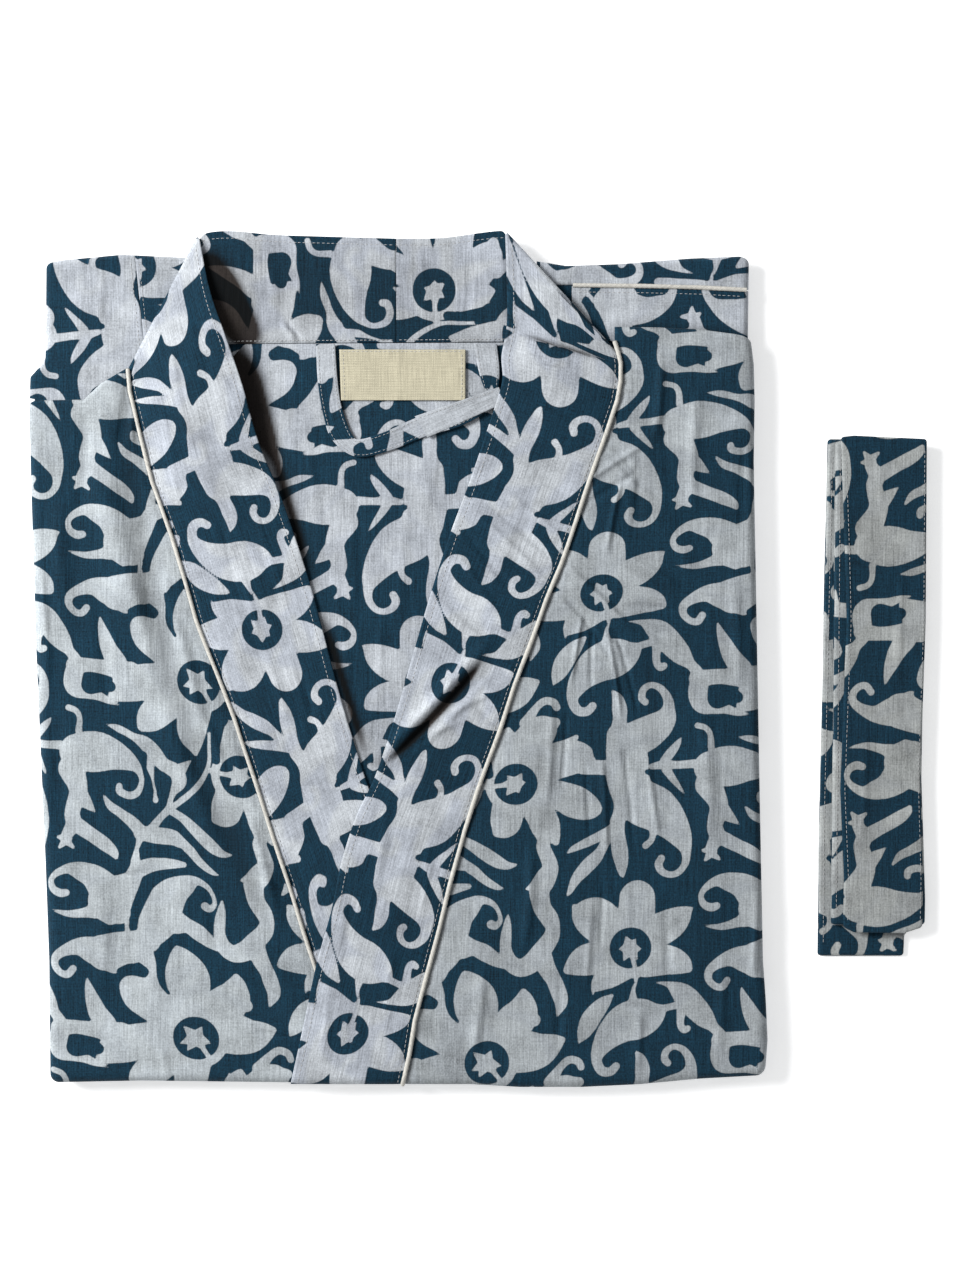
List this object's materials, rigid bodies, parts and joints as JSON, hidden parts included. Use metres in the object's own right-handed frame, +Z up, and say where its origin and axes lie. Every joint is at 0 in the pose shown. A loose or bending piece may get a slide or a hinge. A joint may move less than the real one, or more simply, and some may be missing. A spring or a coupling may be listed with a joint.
{
  "type": "kimono robe",
  "caption": "Printed cotton kimono robe folded flat, collar at the top, with piped neck band, hanging loop, bare neck label and its own belt folded beside it.",
  "frame": {"origin": "bottom centre of the box that holds the folded robe and its belt, on the surface they lie on", "axes": "+X to the right, towards the belt; +Y towards the collar; +Z up from the surface"},
  "size_m": [0.4864, 0.463, 0.0224],
  "materials": {
    "printed_cotton": "matt thin cotton, block printed in off-white and deep blue",
    "printed_cotton_under": "the same cotton in folded layers",
    "cream_cotton": "matt cream cotton piping",
    "woven_label": "natural cream woven tape, bare"
  },
  "bodies": {
    "root": {"folded_layers": "printed_cotton_under", "back_panel": "printed_cotton", "front_left": "printed_cotton", "front_right": "printed_cotton", "band_left": "printed_cotton", "band_right": "printed_cotton", "sleeve_left": "printed_cotton", "shoulder_left": "printed_cotton", "sleeve_right": "printed_cotton", "cuff_right": "printed_cotton", "hanging_loop": "printed_cotton", "belt_lower": "printed_cotton", "belt_layers": "printed_cotton", "belt_top": "printed_cotton", "piping_left": "cream_cotton", "piping_right": "cream_cotton", "piping_cuff": "cream_cotton", "label": "woven_label"}
  },
  "joints": []
}
